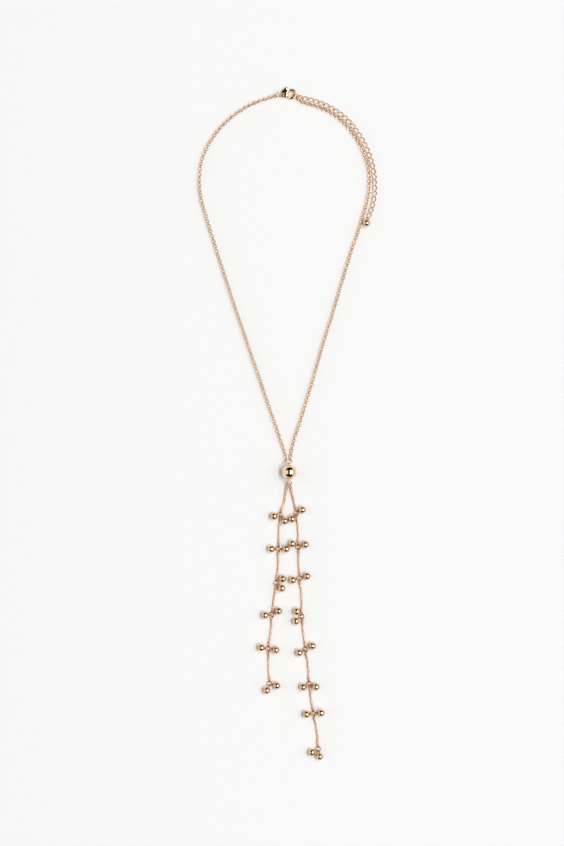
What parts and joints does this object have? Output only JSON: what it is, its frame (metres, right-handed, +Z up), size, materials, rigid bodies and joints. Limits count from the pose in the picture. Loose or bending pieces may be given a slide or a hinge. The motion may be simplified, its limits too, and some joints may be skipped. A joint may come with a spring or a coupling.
{
  "type": "long necklace",
  "caption": "Long chain necklace with a lobster clasp, an extender chain, a big round bead at the centre and two tassel strands of snake chain with pairs of small ball drops.",
  "frame": {"origin": "on the table under the middle of the whole necklace, the centre of the bottom of its bounding box", "axes": "+X to the right, +Y up the necklace from the tassel towards the clasp, +Z up from the table"},
  "size_m": [0.097, 0.3631, 0.008],
  "materials": {
    "chain_plating": "polished rose gold plating",
    "ball_plating": "mirror polished pale rose gold plating",
    "clasp_plating": "polished rose gold plating"
  },
  "bodies": {
    "necklace": {"neck_chain_left": "chain_plating", "neck_chain_right": "chain_plating", "extender_chain": "chain_plating", "extender_ball": "ball_plating", "clasp_body": "clasp_plating", "clasp_ring": "chain_plating", "chain_end_ring": "chain_plating", "centre_ring": "chain_plating", "centre_bead": "ball_plating", "bead_pin": "chain_plating", "drop_ring": "chain_plating", "strand_left": "chain_plating", "strand_right": "chain_plating", "strand_caps_left": "chain_plating", "strand_caps_right": "chain_plating", "joint_rings_left": "chain_plating", "joint_rings_right": "chain_plating", "ball_left_1a": "ball_plating", "ball_left_1b": "ball_plating", "ball_left_2a": "ball_plating", "ball_left_2b": "ball_plating", "ball_left_3a": "ball_plating", "ball_left_3b": "ball_plating", "ball_left_4a": "ball_plating", "ball_left_4b": "ball_plating", "ball_left_5a": "ball_plating", "ball_left_5b": "ball_plating", "ball_left_6a": "ball_plating", "ball_left_6b": "ball_plating", "ball_right_1a": "ball_plating", "ball_right_1b": "ball_plating", "ball_right_2a": "ball_plating", "ball_right_2b": "ball_plating", "ball_right_3a": "ball_plating", "ball_right_3b": "ball_plating", "ball_right_4a": "ball_plating", "ball_right_4b": "ball_plating", "ball_right_5a": "ball_plating", "ball_right_5b": "ball_plating", "ball_right_6a": "ball_plating", "ball_right_6b": "ball_plating", "ball_right_7a": "ball_plating", "ball_right_7b": "ball_plating", "ball_right_8a": "ball_plating", "ball_right_8b": "ball_plating"},
    "lever": {"clasp_lever": "clasp_plating"}
  },
  "joints": [
    {"name": "clasp_hinge", "type": "hinge", "parent": "necklace", "child": "lever", "pos_m": [-0.0012, 0.1775, 0.0013], "axis": [0, 0, -1], "range_deg": [0, 25], "stiffness_Nm_per_rad": 0.005, "springref_deg": -28.65}
  ]
}
